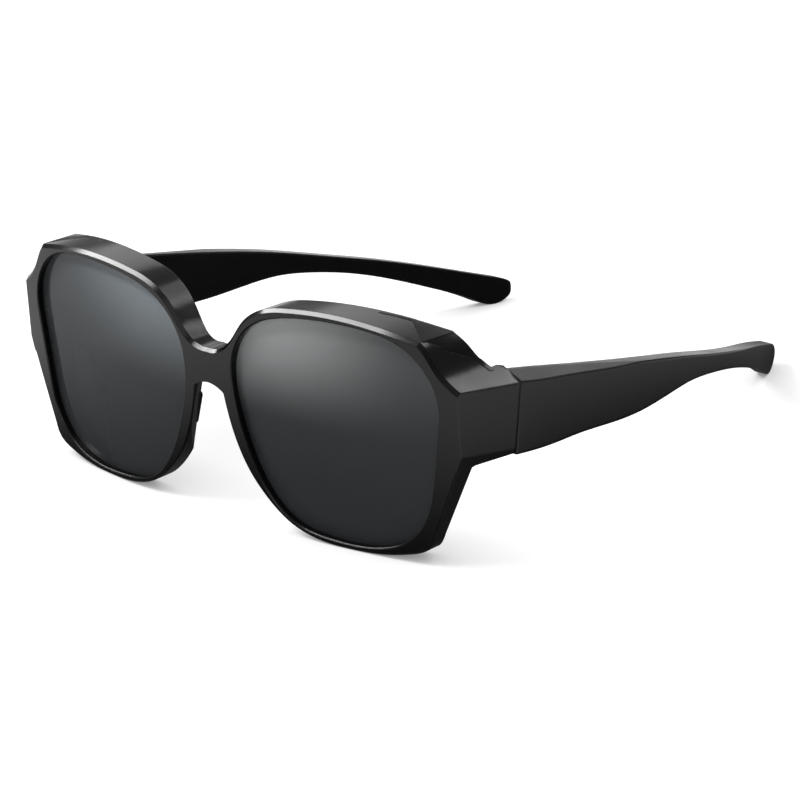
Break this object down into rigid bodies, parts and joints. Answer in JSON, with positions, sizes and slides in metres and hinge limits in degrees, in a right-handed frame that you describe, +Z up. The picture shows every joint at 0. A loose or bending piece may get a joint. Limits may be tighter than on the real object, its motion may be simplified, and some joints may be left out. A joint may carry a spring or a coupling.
{
  "type": "fitover sunglasses",
  "caption": "Fitover sunglasses with a moulded wrap front, tinted lenses and broad temples that fold on metal barrel hinges.",
  "frame": {"origin": "middle of the bottom of the overall box, where the open glasses stand", "axes": "+Z up, -Y the way the lenses face, +X the wearer's left"},
  "size_m": [0.1524, 0.155, 0.0578],
  "materials": {
    "frame_plastic": "semi-gloss moulded",
    "temple_plastic": "semi-gloss moulded",
    "lens": "polished grey tint",
    "hinge_metal": "stamped and rolled",
    "screw_metal": "turned"
  },
  "bodies": {
    "front": {"front_frame": "frame_plastic", "left_lens": "lens", "left_front_hinge": "hinge_metal", "left_hinge_screw": "screw_metal", "left_front_hinge_fixings": "screw_metal", "right_lens": "lens", "right_front_hinge": "hinge_metal", "right_hinge_screw": "screw_metal", "right_front_hinge_fixings": "screw_metal"},
    "left_arm": {"left_temple": "temple_plastic", "left_temple_hinge": "hinge_metal", "left_temple_hinge_fixings": "screw_metal"},
    "right_arm": {"right_temple": "temple_plastic", "right_temple_hinge": "hinge_metal", "right_temple_hinge_fixings": "screw_metal"}
  },
  "joints": [
    {"name": "left_fold", "type": "hinge", "parent": "front", "child": "left_arm", "pos_m": [0.0686, -0.0522, 0.03324], "axis": [0, 0, 1], "range_deg": [0, 84]},
    {"name": "right_fold", "type": "hinge", "parent": "front", "child": "right_arm", "pos_m": [-0.0686, -0.0522, 0.03324], "axis": [0, 0, -1], "range_deg": [0, 76]}
  ]
}
